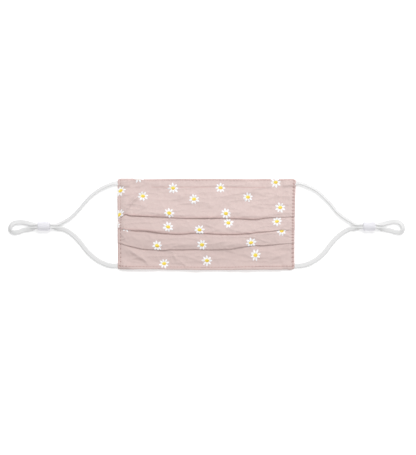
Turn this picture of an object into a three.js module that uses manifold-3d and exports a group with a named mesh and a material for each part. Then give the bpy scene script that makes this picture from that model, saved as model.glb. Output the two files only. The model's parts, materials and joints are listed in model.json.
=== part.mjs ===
// A pleated cloth face mask, lying face up on a flat surface, with two adjustable ear loops.
// Millimetres. X runs along the mask, Y up the worn mask, Z up from the surface it lies on.
// The origin is on that surface, under the middle of the cloth panel.
import * as THREE from "three";
import { mergeVertices } from "three/addons/utils/BufferGeometryUtils.js";
import Module from "manifold-3d";

// Cloth panel
const maskLength = 178;
const maskHeight = 91;
const clothThickness = 1;
const layerGap = 0.35;
const pleatCount = 3;
const firstFoldDrop = 38.8;
const pleatPitch = 15.8;
const pleatDepth = 11.5;

// Pockets in the four corners, where the ends of the ear loops are sewn in
const pocketDepth = 12;
const pocketFloor = 0.3;
const pocketCover = 1;
const pocketRound = 2;
const pocketSetBack = 0.4;
const cordInset = 3.7;
const cordClearance = 0.3;

// Flat elastic of the ear loops
const cordWidth = 4.4;
const cordThickness = 2.2;
const runGap = 0.3;

// Cord stops. stopUp is a share of the pockets' height, as in the ear loops' courses.
const stopLength = 12.3;
const stopSideWall = 1.95;
const stopTopWall = 1.3;
const stopEdgeRound = 1.6;
const stopOut = 75.2;
const stopUp = -0.04;

// How finely the shapes are cut into facets
const panelSteps = 24;
const turnSteps = 4;
const spanLength = 6.5;
const cordSides = 10;
const cordSteps = 76;
const stopSides = 20;
const roundSteps = 3;

// Sizes that follow from the ones above
const layerPitch = clothThickness + layerGap;
const stackRise = 2 * layerPitch;
const turnRadius = layerPitch / 2;
const cornerReach = maskHeight / 2 - cordInset;
const hemLift = clothThickness + pocketFloor + cordClearance;
const boreWidth = 2 * cordThickness + runGap + 2 * cordClearance;
const boreHeight = cordWidth + 2 * cordClearance;
const stopWidth = boreWidth + 2 * stopSideWall;
const stopHeight = boreHeight + 2 * stopTopWall;
const stopLift = (stopHeight - cordWidth) / 2;

// Turns rows of numbers into rows with named columns.
function table(columns, rows) {
  const names = columns.split(" ");
  return rows.map((row) => Object.fromEntries(names.map((name, i) => [name, row[i]])));
}

// Reads one column of a table between its rows. The key column rises from row to row.
function readTable(rows, key, at, column) {
  const last = rows.length - 1;
  const place = THREE.MathUtils.clamp(at, rows[0][key], rows[last][key]);
  const next = Math.max(1, rows.findIndex((row) => row[key] >= place));
  const before = rows[next - 1];
  const after = rows[next];
  const share = THREE.MathUtils.smoothstep(place, before[key], after[key]);
  return THREE.MathUtils.lerp(before[column], after[column], share);
}

// How far each edge and fold line lies above its straight course, as shares of the pleat pitch.
// The place along the mask is a share of its half length, from the wearer's side at -1 to 1.
const foldLines = table("along top first second third bottom", [
  [-1.0, -0.04, -0.02, 0.3, 0.42, 0.07],
  [-0.98, 0.01, 0.06, 0.29, 0.4, 0.03],
  [-0.92, 0.02, 0.22, 0.26, 0.29, 0.03],
  [-0.8, -0.04, 0.15, 0.21, 0.15, 0.03],
  [-0.65, -0.06, 0.1, 0.14, 0.03, 0.03],
  [-0.5, -0.03, 0.05, 0.03, -0.07, 0.01],
  [-0.35, -0.03, -0.01, -0.03, 0.0, 0.0],
  [-0.15, -0.02, -0.03, 0.03, 0.01, -0.01],
  [0.0, -0.01, -0.02, 0.01, -0.03, -0.02],
  [0.2, 0.01, -0.03, -0.04, 0.01, -0.02],
  [0.35, 0.01, -0.03, -0.01, 0.11, -0.01],
  [0.5, 0.01, -0.06, 0.04, 0.2, 0.0],
  [0.65, 0.01, 0.0, 0.14, 0.26, 0.01],
  [0.8, 0.01, 0.06, 0.23, 0.36, 0.01],
  [0.98, 0.01, 0.1, 0.28, 0.42, 0.01],
  [1.0, -0.05, 0.1, 0.28, 0.42, 0.07],
]);

// How far each side edge is drawn in, as shares of the mask's length, by the share of the way down.
const sideEdges = table("down left right", [
  [0.0, 0.0, 0.0],
  [0.33, 0.0, 0.0],
  [0.42, 0.003, 0.003],
  [0.7, 0.005, 0.006],
  [1.0, 0.006, 0.006],
]);

// Soft folds and dents that lift the cloth. The middle is in shares of the half length and half height,
// the reach along and across each fold in shares of the pleat pitch, the turn in degrees from X,
// and the lift in shares of the cloth's thickness.
const softFolds = table("along up reach width turn lift", [
  [-0.83, 0.5, 1.1, 0.35, 48, 0.8],
  [-0.72, 0.58, 0.9, 0.3, 44, 0.5],
  [-0.1, 0.68, 1.6, 0.35, 8, 0.5],
  [0.22, 0.62, 1.5, 0.35, -8, 0.5],
  [0.84, 0.62, 0.8, 0.3, 82, 0.7],
  [0.55, 0.45, 1.2, 0.4, 20, 0.5],
  [-0.6, 0.35, 1.0, 0.4, -25, 0.4],
  [-0.48, -0.27, 0.5, 0.3, 28, 0.4],
  [0.28, -0.28, 0.7, 0.25, 0, 0.4],
  [-0.83, -0.75, 0.9, 0.35, -38, 0.8],
  [-0.34, -0.78, 0.7, 0.35, -72, 0.6],
  [0.8, -0.72, 1.1, 0.4, 22, 0.7],
]);

// Each ear loop from its upper corner round to its lower one, in the middle of the elastic.
// out is the distance from the mask's side edge, up a share of the corner pockets' height,
// beside the offset from the middle of the cord stop in elastic widths on edge, hem and stop the shares
// of the lift in the pocket and in the cord stop, and roll the turn in degrees from lying flat.
const routeColumns = "out up beside hem stop roll";
const leftRoute = table(routeColumns, [
  [-11.5, 1, 0, 1, 0, 0],
  [-5, 1, 0, 1, 0, 0],
  [0.6, 1, 0, 1, 0, 0],
  [5, 0.965, 0, 0.4, 0, 40],
  [10.5, 0.918, 0, 0, 0, 72],
  [18.3, 0.83, 0, 0, 0, 80],
  [24.8, 0.731, 0, 0, 0, 80],
  [31.2, 0.588, 0, 0, 0, 80],
  [37.6, 0.411, 0, 0, 0, 78],
  [44.1, 0.231, 0, 0, 0, 78],
  [49.6, 0.116, 0, 0, 0, 76],
  [55.9, 0.03, 0, 0, 0, 76],
  [62.3, -0.012, 0.12, 0, 0.2, 80],
  [69, -0.04, 0.5, 0, 1, 90],
  [75.2, -0.04, 0.5, 0, 1, 90],
  [81.4, -0.04, 0.5, 0, 1, 88],
  [87.2, -0.01, 0.2, 0, 0.25, 26],
  [94.6, 0.033, 0, 0, 0, 10],
  [101.9, 0.047, 0, 0, 0, 24],
  [107.4, 0, 0, 0, 0, 52],
  [109.6, -0.122, 0, 0, 0, 60],
  [106.6, -0.213, 0, 0, 0, 40],
  [101.5, -0.226, 0, 0, 0, 16],
  [95.4, -0.175, 0, 0, 0, 10],
  [87.6, -0.092, -0.2, 0, 0.25, 26],
  [81.4, -0.04, -0.5, 0, 1, 88],
  [75.2, -0.04, -0.5, 0, 1, 90],
  [69, -0.04, -0.5, 0, 1, 90],
  [61.8, -0.078, -0.3, 0, 0.2, 40],
  [55.1, -0.137, 0, 0, 0, 10],
  [48.7, -0.219, 0, 0, 0, 4],
  [42.4, -0.355, 0, 0, 0, 0],
  [36.7, -0.51, 0, 0, 0, 0],
  [30.9, -0.667, 0, 0, 0, 0],
  [24.6, -0.806, 0, 0, 0, 0],
  [17.4, -0.915, 0, 0, 0, 0],
  [9.5, -0.982, 0, 0, 0, 0],
  [0.2, -1, 0, 1, 0, 0],
  [-5.5, -1, 0, 1, 0, 0],
  [-11.5, -1, 0, 1, 0, 0],
]);
const rightRoute = table(routeColumns, [
  [-11.5, 1, 0, 1, 0, 0],
  [-5, 1, 0, 1, 0, 0],
  [0.6, 1, 0, 1, 0, 0],
  [5, 0.97, 0, 0.4, 0, 40],
  [10.5, 0.918, 0, 0, 0, 72],
  [17, 0.85, 0, 0, 0, 80],
  [23.6, 0.75, 0, 0, 0, 80],
  [30.1, 0.615, 0, 0, 0, 80],
  [36.1, 0.47, 0, 0, 0, 80],
  [42, 0.315, 0, 0, 0, 78],
  [48, 0.165, 0, 0, 0, 78],
  [54.3, 0.065, 0, 0, 0, 76],
  [62, -0.012, 0.12, 0, 0.2, 80],
  [69, -0.04, 0.5, 0, 1, 90],
  [75.2, -0.04, 0.5, 0, 1, 90],
  [81.4, -0.04, 0.5, 0, 1, 88],
  [87.2, -0.01, 0.2, 0, 0.25, 26],
  [94.4, 0.037, 0, 0, 0, 10],
  [101.6, 0.062, 0, 0, 0, 24],
  [107, 0.012, 0, 0, 0, 52],
  [109.4, -0.11, 0, 0, 0, 60],
  [107.2, -0.206, 0, 0, 0, 40],
  [101.9, -0.216, 0, 0, 0, 16],
  [95.4, -0.172, 0, 0, 0, 10],
  [87.6, -0.092, -0.2, 0, 0.25, 26],
  [81.4, -0.04, -0.5, 0, 1, 88],
  [75.2, -0.04, -0.5, 0, 1, 90],
  [69, -0.04, -0.5, 0, 1, 90],
  [62, -0.075, -0.3, 0, 0.2, 40],
  [55.3, -0.135, 0, 0, 0, 10],
  [48.5, -0.225, 0, 0, 0, 4],
  [42.4, -0.335, 0, 0, 0, 0],
  [36.5, -0.48, 0, 0, 0, 0],
  [30.7, -0.655, 0, 0, 0, 0],
  [24.9, -0.79, 0, 0, 0, 0],
  [18.4, -0.895, 0, 0, 0, 0],
  [10, -0.975, 0, 0, 0, 0],
  [0.2, -1, 0, 1, 0, 0],
  [-5.5, -1, 0, 1, 0, 0],
  [-11.5, -1, 0, 1, 0, 0],
]);

const cottonPink = new THREE.MeshStandardMaterial({ color: 0xdcc6c2, roughness: 0.92, metalness: 0 });
const elasticWhite = new THREE.MeshStandardMaterial({ color: 0xe9e9e9, roughness: 0.85, metalness: 0 });
const stopWhite = new THREE.MeshStandardMaterial({ color: 0xe6e6ee, roughness: 0.45, metalness: 0 });

const wasm = await Module();
wasm.setup();

// A closed geometry as a solid for joining and cutting.
function solidOf(geometry) {
  const bare = geometry.clone();
  bare.deleteAttribute("normal");
  bare.deleteAttribute("uv");
  const merged = mergeVertices(bare, 1e-3);
  return new wasm.Manifold(
    new wasm.Mesh({
      numProp: 3,
      vertProperties: new Float32Array(merged.attributes.position.array),
      triVerts: new Uint32Array(merged.index.array),
    }),
  );
}

function geometryOf(solid) {
  const mesh = solid.getMesh();
  const geometry = new THREE.BufferGeometry();
  geometry.setAttribute("position", new THREE.BufferAttribute(new Float32Array(mesh.vertProperties), 3));
  geometry.setIndex(new THREE.BufferAttribute(new Uint32Array(mesh.triVerts), 1));
  geometry.computeVertexNormals();
  return geometry;
}

// Middle of the turn at the visible edge of a pleat, and of the hidden turn behind it.
const outerTurn = (pleat) =>
  maskHeight / 2 - firstFoldDrop - pleat * pleatPitch + turnRadius + clothThickness / 2;
const innerTurn = (pleat) => outerTurn(pleat) + pleatDepth;

// Height of a panel's lower face: each one starts on the table at the turn behind it,
// and climbs over the next pleat. The last panel lies flat.
function panelLift(panel, y) {
  if (panel === pleatCount) {
    return 0;
  }
  const climb = (stackRise * (innerTurn(panel) + pleatPitch - y)) / pleatPitch;
  const most = panel === pleatCount - 1 ? stackRise : Infinity;
  return THREE.MathUtils.clamp(climb, 0, most);
}

// Points down one layer of cloth, with one at every place where the slope changes.
function layerPoints(from, to, stops, lift) {
  const marks = [from, ...stops.filter((y) => (y - from) * (y - to) < 0), to];
  const points = [];
  marks.slice(1).forEach((end, i) => {
    const start = marks[i];
    const spans = Math.max(1, Math.round(Math.abs(end - start) / spanLength));
    for (let span = i ? 1 : 0; span <= spans; span++) {
      const y = THREE.MathUtils.lerp(start, end, span / spans);
      points.push(new THREE.Vector2(y, lift(y) + clothThickness / 2));
    }
  });
  return points;
}

// The half turn that joins two layers, bulging down the mask (-1) or up it (1).
function turnPoints(y, lift, side) {
  const points = [];
  for (let step = 1; step < turnSteps; step++) {
    const angle = (Math.PI * step) / turnSteps;
    const rise = side < 0 ? Math.cos(angle) : -Math.cos(angle);
    const out = side * Math.sin(angle) * turnRadius;
    const middle = lift + clothThickness / 2 + turnRadius;
    points.push(new THREE.Vector2(y + out, middle + (side < 0 ? rise : -rise) * turnRadius));
  }
  return points;
}

// Middle line of the folded cloth, from the top edge to the bottom edge.
function foldedPath() {
  const path = [];
  for (let panel = 0; panel <= pleatCount; panel++) {
    const first = panel === 0;
    const last = panel === pleatCount;
    const from = first ? maskHeight / 2 : innerTurn(panel - 1);
    const to = last ? -maskHeight / 2 : outerTurn(panel);
    const marks = [];
    if (first) {
      marks.push(innerTurn(0) + pleatPitch);
    }
    if (!first) {
      marks.push(outerTurn(panel - 1));
    }
    if (!last) {
      marks.push(innerTurn(panel));
    }
    path.push(...layerPoints(from, to, marks, (y) => panelLift(panel, y)));
    if (!last) {
      const under = (y) => panelLift(panel + 1, y) + layerPitch;
      path.push(...turnPoints(to, under(to), -1));
      path.push(...layerPoints(to, innerTurn(panel), [], under));
      path.push(...turnPoints(innerTurn(panel), panelLift(panel + 1, innerTurn(panel)), 1));
    }
  }
  return path;
}

// The cloth's outline: its middle line moved half a thickness to either side.
function clothOutline(path) {
  const sideways = path.map((point, i) => {
    const before = path[Math.max(0, i - 1)];
    const after = path[Math.min(path.length - 1, i + 1)];
    const along = after.clone().sub(before).normalize();
    return new THREE.Vector2(-along.y, along.x).multiplyScalar(clothThickness / 2);
  });
  const oneSide = path.map((point, i) => point.clone().add(sideways[i]));
  const otherSide = path.map((point, i) => point.clone().sub(sideways[i]));
  return new THREE.Shape([...oneSide, ...otherSide.reverse()]);
}

// Sets a straight piece of cloth into the mask's real outline, with its waves and soft folds.
function drape(geometry) {
  const place = geometry.attributes.position;
  const halfLength = maskLength / 2;
  const halfHeight = maskHeight / 2;
  const lines = ["top", "first", "second", "third", "bottom"];
  const courses = [halfHeight, ...[0, 1, 2].map((pleat) => outerTurn(pleat)), -halfHeight];
  for (let i = 0; i < place.count; i++) {
    const x = place.getX(i);
    const y = place.getY(i);
    const along = x / halfLength;
    const next = Math.max(1, courses.findIndex((course) => course <= y + 1e-6));
    const over = next < 1 ? 1 : next;
    const share = THREE.MathUtils.clamp((courses[over - 1] - y) / (courses[over - 1] - courses[over]), 0, 1);
    const above = readTable(foldLines, "along", along, lines[over - 1]);
    const below = readTable(foldLines, "along", along, lines[over]);
    const down = (halfHeight - y) / maskHeight;
    const drawnIn = readTable(sideEdges, "down", down, along < 0 ? "left" : "right") * maskLength;
    let lift = 0;
    for (const fold of softFolds) {
      const turn = THREE.MathUtils.degToRad(fold.turn);
      const dx = x - fold.along * halfLength;
      const dy = y - fold.up * halfHeight;
      const far = (dx * Math.cos(turn) + dy * Math.sin(turn)) / (fold.reach * pleatPitch);
      const wide = (dy * Math.cos(turn) - dx * Math.sin(turn)) / (fold.width * pleatPitch);
      const near = Math.max(0, 1 - far * far - wide * wide);
      lift += fold.lift * clothThickness * near * near;
    }
    place.setX(i, x - along * drawnIn);
    place.setY(i, y + THREE.MathUtils.lerp(above, below, share) * pleatPitch);
    place.setZ(i, place.getZ(i) + lift);
  }
  return geometry;
}

// The folded section drawn out along X, with its steps closer together near the sides.
function pleatedCloth() {
  const geometry = new THREE.ExtrudeGeometry(clothOutline(foldedPath()), {
    depth: 2,
    steps: panelSteps,
    bevelEnabled: false,
  });
  const axes = new THREE.Matrix4().makeBasis(
    new THREE.Vector3(0, 1, 0),
    new THREE.Vector3(0, 0, 1),
    new THREE.Vector3(1, 0, 0),
  );
  geometry.applyMatrix4(axes);
  const place = geometry.attributes.position;
  for (let i = 0; i < place.count; i++) {
    const share = place.getX(i) - 1;
    const spread = Math.sin(share * 1.35) / Math.sin(1.35);
    place.setX(i, (spread * maskLength) / 2);
  }
  return geometry;
}

// A box with one face on the table, reaching a little past the cloth's straight outline.
function pocketBounds(mouth, side) {
  const deep = pocketDepth + cordClearance + pocketCover;
  const tall = hemLift + cordThickness + cordClearance + pocketCover;
  const box = new THREE.BoxGeometry(deep, 2 * cordWidth + cordThickness, 2 * tall);
  return box.translate(side * (mouth - deep / 2), 0, clothThickness / 2 + tall);
}

// The cloth over one sewn-in end of elastic: a low rounded cover on the panel, open at the side edge.
function sewnPocket(side, up) {
  const down = up > 0 ? 0 : 1;
  const drawnIn = readTable(sideEdges, "down", down, side < 0 ? "left" : "right") * maskLength;
  const mouth = maskLength / 2 - drawnIn - pocketSetBack;
  const halfWidth = cordWidth / 2 + cordClearance + pocketCover - pocketRound;
  const inside = maskLength / 2 - pocketDepth - pocketCover + pocketRound;
  const plan = new THREE.Shape();
  plan.moveTo(inside + halfWidth, -halfWidth);
  plan.lineTo(maskLength / 2 + pocketRound, -halfWidth);
  plan.lineTo(maskLength / 2 + pocketRound, halfWidth);
  plan.lineTo(inside + halfWidth, halfWidth);
  plan.absarc(inside + halfWidth, 0, halfWidth, Math.PI / 2, 1.5 * Math.PI);
  const tall = hemLift + cordThickness + cordClearance + pocketCover;
  const cover = new THREE.ExtrudeGeometry(plan, {
    depth: tall - pocketRound,
    bevelSize: pocketRound,
    bevelThickness: pocketRound,
    bevelSegments: roundSteps,
    curveSegments: roundSteps,
  });
  if (side < 0) {
    cover.rotateZ(Math.PI);
  }
  const clipped = solidOf(cover).intersect(solidOf(pocketBounds(mouth, side)));
  return clipped.translate([0, up * cornerReach, 0]);
}

// Half the height of the elastic's section when it is turned by an angle from lying flat.
function standingHalf(turn) {
  return Math.max(...elasticSection(0).map((p) => Math.abs(p.x * Math.sin(turn) + p.y * Math.cos(turn))));
}

// Outline of the elastic: flat faces and round edges, grown on every side where a hole is cut for it.
function elasticSection(growth) {
  const round = cordThickness / 2 + growth;
  const flat = (cordWidth - cordThickness) / 2;
  const points = [];
  for (let side = 0; side < cordSides; side++) {
    const angle = (2 * Math.PI * side) / cordSides;
    const x = flat * Math.sign(Math.cos(angle)) + round * Math.cos(angle);
    const y = (round * Math.sin(angle)) / Math.cos(Math.PI / cordSides);
    points.push(new THREE.Vector2(x, y));
  }
  return points;
}

// The middle line of one ear loop, with the elastic's turn at every place along it.
class ElasticCourse extends THREE.Curve {
  constructor(side, rows) {
    super();
    this.rows = rows;
    this.plan = new THREE.CatmullRomCurve3(
      rows.map((row) => {
        const y = row.up * cornerReach + row.beside * (cordThickness + runGap);
        return new THREE.Vector3(side * (maskLength / 2 + row.out), y, 0);
      }),
    );
  }

  read(t, column) {
    const place = t * (this.rows.length - 1);
    const before = Math.min(Math.floor(place), this.rows.length - 2);
    const share = THREE.MathUtils.smoothstep(place - before, 0, 1);
    return THREE.MathUtils.lerp(this.rows[before][column], this.rows[before + 1][column], share);
  }

  getPoint(t, target = new THREE.Vector3()) {
    this.plan.getPoint(t, target);
    const turn = THREE.MathUtils.degToRad(this.read(t, "roll"));
    target.z = standingHalf(turn) + this.read(t, "hem") * hemLift + this.read(t, "stop") * stopLift;
    return target;
  }

  // Frames that keep the elastic's flat side level, apart from its own turn.
  computeFrenetFrames(segments) {
    const frames = { tangents: [], normals: [], binormals: [] };
    for (let i = 0; i <= segments; i++) {
      const tangent = this.getTangentAt(i / segments);
      const turn = THREE.MathUtils.degToRad(this.read(this.getUtoTmapping(i / segments), "roll"));
      const across = new THREE.Vector3(0, 0, 1).cross(tangent).normalize();
      const upright = new THREE.Vector3().crossVectors(tangent, across);
      const normal = across.multiplyScalar(Math.cos(turn)).addScaledVector(upright, Math.sin(turn));
      frames.tangents.push(tangent);
      frames.normals.push(normal);
      frames.binormals.push(new THREE.Vector3().crossVectors(tangent, normal));
    }
    return frames;
  }
}

function earLoop(side, rows) {
  return new THREE.ExtrudeGeometry(new THREE.Shape(elasticSection(0)), {
    steps: cordSteps,
    extrudePath: new ElasticCourse(side, rows),
  });
}

// The room that an end of elastic lies in, straight in from the side edge.
function pocketBore(side, up) {
  const length = pocketDepth + 2 * pocketRound;
  const bore = new THREE.ExtrudeGeometry(new THREE.Shape(elasticSection(cordClearance)), {
    depth: length,
    bevelEnabled: false,
  });
  bore.applyMatrix4(
    new THREE.Matrix4().makeBasis(
      new THREE.Vector3(0, 1, 0),
      new THREE.Vector3(0, 0, 1),
      new THREE.Vector3(1, 0, 0),
    ),
  );
  const inside = maskLength / 2 - pocketDepth;
  const start = side > 0 ? inside : -inside - length;
  return solidOf(bore.translate(start, up * cornerReach, hemLift + cordThickness / 2));
}

// A soft barrel with rounded ends and one bore for both runs of elastic.
function cordStop() {
  const radius = stopWidth / 2;
  const half = stopLength / 2;
  const profile = [new THREE.Vector2(0, -half)];
  for (const end of [-1, 1]) {
    for (let step = 0; step <= roundSteps; step++) {
      const turn = (Math.PI / 2) * (end < 0 ? step / roundSteps : 1 - step / roundSteps);
      const x = radius - stopEdgeRound + stopEdgeRound * Math.sin(turn);
      const y = end * (half - stopEdgeRound + stopEdgeRound * Math.cos(turn));
      profile.push(new THREE.Vector2(x, y));
    }
  }
  profile.push(new THREE.Vector2(0, half));
  const barrel = new THREE.LatheGeometry(profile, stopSides);
  barrel.rotateZ(-Math.PI / 2).scale(1, 1, stopHeight / stopWidth);
  const corner = cordThickness / 2;
  const reachX = boreWidth / 2 - corner;
  const reachY = boreHeight / 2 - corner;
  const outline = new THREE.Shape();
  outline.absarc(reachX, reachY, corner, 0, Math.PI / 2);
  outline.absarc(-reachX, reachY, corner, Math.PI / 2, Math.PI);
  outline.absarc(-reachX, -reachY, corner, Math.PI, 1.5 * Math.PI);
  outline.absarc(reachX, -reachY, corner, 1.5 * Math.PI, 2 * Math.PI);
  const bore = new THREE.ExtrudeGeometry(outline, {
    depth: 2 * stopLength,
    bevelEnabled: false,
    curveSegments: roundSteps,
  });
  bore.translate(0, 0, -stopLength);
  bore.applyMatrix4(
    new THREE.Matrix4().makeBasis(
      new THREE.Vector3(0, 1, 0),
      new THREE.Vector3(0, 0, 1),
      new THREE.Vector3(1, 0, 0),
    ),
  );
  return geometryOf(solidOf(barrel).subtract(solidOf(bore)));
}

let panel = solidOf(drape(pleatedCloth()));
for (const side of [-1, 1]) {
  for (const up of [-1, 1]) {
    panel = panel.add(sewnPocket(side, up)).subtract(pocketBore(side, up));
  }
}

const mask = new THREE.Group();

function place(name, geometry, material) {
  const mesh = new THREE.Mesh(geometry, material);
  mesh.name = name;
  mask.add(mesh);
  return mesh;
}

place("pleated_panel", geometryOf(panel), cottonPink);
place("ear_loop_left", earLoop(-1, leftRoute), elasticWhite);
place("ear_loop_right", earLoop(1, rightRoute), elasticWhite);
for (const [name, side] of [["cord_stop_left", -1], ["cord_stop_right", 1]]) {
  const stop = place(name, cordStop(), stopWhite);
  stop.position.set(side * (maskLength / 2 + stopOut), stopUp * cornerReach, stopHeight / 2);
}

export default mask;
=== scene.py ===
import json
import math
import random

import bpy
import bmesh
import numpy as np
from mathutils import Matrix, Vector, noise

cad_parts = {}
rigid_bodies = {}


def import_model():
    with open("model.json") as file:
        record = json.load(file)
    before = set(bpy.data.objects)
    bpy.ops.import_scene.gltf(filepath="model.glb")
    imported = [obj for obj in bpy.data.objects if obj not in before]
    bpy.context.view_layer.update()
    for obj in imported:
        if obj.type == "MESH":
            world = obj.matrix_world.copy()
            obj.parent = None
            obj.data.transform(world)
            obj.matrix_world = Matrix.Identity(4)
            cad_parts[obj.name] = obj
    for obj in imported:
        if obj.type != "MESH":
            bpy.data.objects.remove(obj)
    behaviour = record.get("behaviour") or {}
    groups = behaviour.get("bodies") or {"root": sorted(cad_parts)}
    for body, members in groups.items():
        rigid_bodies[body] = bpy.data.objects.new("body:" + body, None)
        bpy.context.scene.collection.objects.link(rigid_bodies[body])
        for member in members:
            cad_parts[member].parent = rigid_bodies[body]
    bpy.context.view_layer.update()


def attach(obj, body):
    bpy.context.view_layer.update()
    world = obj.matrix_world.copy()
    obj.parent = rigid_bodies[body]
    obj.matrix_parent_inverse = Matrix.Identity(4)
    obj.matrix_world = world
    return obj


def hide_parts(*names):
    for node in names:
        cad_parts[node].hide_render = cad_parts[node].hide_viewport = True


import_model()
mm = 0.001

# Studio, in metres
studio = {
    "cameraHeight": 1.5,
    "pixel": 0.00101,  # size of one picture pixel on the table
    "pictureTall": 455,
    "sensor": 36,
    "nearest": 0.05,
    "aim": (0.0015, -0.0031),
    "tableSize": 6,
    "tableLow": -0.00015,
    "skyStrength": 0.46,
    "key": {"place": (0.2, 0.84, 1.08), "size": 0.7, "power": 12.7},
    "fill": {"place": (0.3, -0.9, 1.5), "size": 1.6, "power": 6.5},
}
tableLook = {
    "tone": (0.9, 0.9, 0.9),
    # the table glows a little, so that it stays white in the picture
    "settings": {"Roughness": 0.9, "Emission Color": (1, 1, 1, 1), "Emission Strength": 0.25},
}
clothLayer = "clothRun"  # the UV layer that the cloth, cords and trim carry


def deselectAll():
    for item in bpy.context.view_layer.objects:
        item.select_set(False)


def addObject(name, data):
    made = bpy.data.objects.new(name, data)
    bpy.context.collection.objects.link(made)
    return made


class Share:
    # a value that a material works out at each place: sums and comparisons of it add maths nodes
    def __init__(self, tree, socket):
        self.tree = tree
        self.socket = socket

    def maths(self, operation, *values):
        node = self.tree.nodes.new("ShaderNodeMath")
        node.operation = operation
        for socket, value in zip(node.inputs, values):
            feed(socket, value)
        return Share(self.tree, node.outputs[0])

    def __add__(self, other):
        return self.maths("ADD", self, other)

    def __sub__(self, other):
        return self.maths("SUBTRACT", self, other)

    def __rsub__(self, other):
        return self.maths("SUBTRACT", other, self)

    def __mul__(self, other):
        return self.maths("MULTIPLY", self, other)

    def __truediv__(self, other):
        return self.maths("DIVIDE", self, other)

    def __lt__(self, other):
        return self.maths("LESS_THAN", self, other)

    def __gt__(self, other):
        return self.maths("GREATER_THAN", self, other)

    def most(self, other):
        return self.maths("MAXIMUM", self, other)

    def clamped(self):
        return self.maths("MINIMUM", self, 1.0).most(0.0)

    def wave(self, pace):
        return self.maths("SINE", self * pace)


def feed(socket, value):
    # a number, a colour or a share
    if isinstance(value, Share):
        value.tree.links.new(value.socket, socket)
    elif isinstance(value, tuple):
        socket.default_value = (*value, 1)
    else:
        socket.default_value = value


def mixColor(tree, share, first, second):
    node = tree.nodes.new("ShaderNodeMix")
    node.data_type = "RGBA"
    # inputs 0, 6 and 7 are the share and the two colours, output 2 is the mixed colour
    for index, value in ((0, share), (6, first), (7, second)):
        feed(node.inputs[index], value)
    return Share(tree, node.outputs[2])


def newMaterial(name, look):
    material = bpy.data.materials.new(name)
    material.use_nodes = True
    shader = material.node_tree.nodes["Principled BSDF"]
    shader.inputs["Base Color"].default_value = (*look["tone"], 1)
    material.diffuse_color = (*look["tone"], 1)
    for socketName, value in look["settings"].items():
        shader.inputs[socketName].default_value = value
    return material, material.node_tree, shader


def noiseOn(place, scale, detail):
    node = place.tree.nodes.new("ShaderNodeTexNoise")
    feed(node.inputs["Scale"], scale)
    feed(node.inputs["Detail"], detail)
    feed(node.inputs["Vector"], place)
    return Share(place.tree, node.outputs["Fac"])


def stretchedNoise(place, stretch, scale, detail):
    node = place.tree.nodes.new("ShaderNodeMapping")
    node.inputs["Scale"].default_value = stretch
    feed(node.inputs["Vector"], place)
    return noiseOn(Share(place.tree, node.outputs[0]), scale, detail)


def addBump(shader, height, look):
    node = height.tree.nodes.new("ShaderNodeBump")
    feed(node.inputs["Strength"], look["bumpStrength"])
    feed(node.inputs["Distance"], look["bump"])
    feed(node.inputs["Height"], height)
    feed(shader.inputs["Normal"], Share(height.tree, node.outputs["Normal"]))


def tintAndBump(shader, share, height, look):
    feed(shader.inputs["Base Color"], mixColor(share.tree, share, look["dark"], look["light"]))
    addBump(shader, height, look)


def clothPlaces(tree):
    # the place on the cloth or cord, whole and as its two numbers
    node = tree.nodes.new("ShaderNodeUVMap")
    node.uv_map = clothLayer
    split = tree.nodes.new("ShaderNodeSeparateXYZ")
    place = Share(tree, node.outputs["UV"])
    feed(split.inputs[0], place)
    return place, Share(tree, split.outputs[0]), Share(tree, split.outputs[1])


def meshFrom(name, vertices, faces, material, uvs):
    mesh = bpy.data.meshes.new(name)
    mesh.from_pydata([tuple(v) for v in vertices], [], [tuple(int(i) for i in f) for f in faces])
    mesh.validate()
    uvLayer = mesh.uv_layers.new(name=clothLayer)
    loopVertices = np.empty(len(mesh.loops), dtype=np.int32)
    mesh.loops.foreach_get("vertex_index", loopVertices)
    uvLayer.data.foreach_set("uv", np.asarray(uvs, dtype=np.float32)[loopVertices].ravel())
    mesh.polygons.foreach_set("use_smooth", [True] * len(mesh.polygons))
    mesh.materials.append(material)
    mesh.update()
    return addObject(name, mesh)


def gridOf(first, second):
    # two flat lists that pair each value of the first with each of the second
    return (a.ravel() for a in np.meshgrid(first, second, indexing="ij"))


def outwards(made, merge=0):
    # turns every face outwards, once points closer together than merge are joined
    work = bmesh.new()
    work.from_mesh(made.data)
    if merge:
        bmesh.ops.remove_doubles(work, verts=work.verts, dist=merge)
    bmesh.ops.recalc_face_normals(work, faces=work.faces)
    work.to_mesh(made.data)
    work.free()
    return made


def tubeFaces(start, rings, around):
    # a tube through rings of points, closed at both ends
    faces = []
    for i in range(rings - 1):
        low, high = start + i * around, start + (i + 1) * around
        for j in range(around):
            k = (j + 1) % around
            faces.append((low + j, low + k, high + k, high + j))
    last = start + (rings - 1) * around
    faces.append([start + j for j in range(around)][::-1])
    faces.append([last + j for j in range(around)])
    return faces


def easeBetween(t, span, first, firstSlope, second, secondSlope):
    # a smooth curve from one value to the next, with the slope given at both
    return (
        (2 * t**3 - 3 * t**2 + 1) * first
        + (t**3 - 2 * t**2 + t) * span * firstSlope
        + (3 * t**2 - 2 * t**3) * second
        + (t**3 - t**2) * span * secondSlope
    )


def smoothStep(value):
    value = np.clip(value, 0, 1)
    return value * value * (3 - 2 * value)


def hump(away, width):
    # 1 in the middle, dying away on both sides
    return np.exp(-((away / width) ** 2))


print("studio: table, light and camera")
deselectAll()
bpy.ops.mesh.primitive_plane_add(size=studio["tableSize"], location=(0, 0, studio["tableLow"]))
tabletop = bpy.context.object
tabletop.name = "tabletop"
tabletop.data.materials.append(newMaterial("paleTable", tableLook)[0])

scene = bpy.context.scene
sky = bpy.data.worlds.new("softSky")
sky.use_nodes = True
background = sky.node_tree.nodes["Background"]
background.inputs["Color"].default_value = (1, 1, 1, 1)
background.inputs["Strength"].default_value = studio["skyStrength"]
scene.world = sky
scene.view_settings.view_transform = "Standard"


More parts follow.
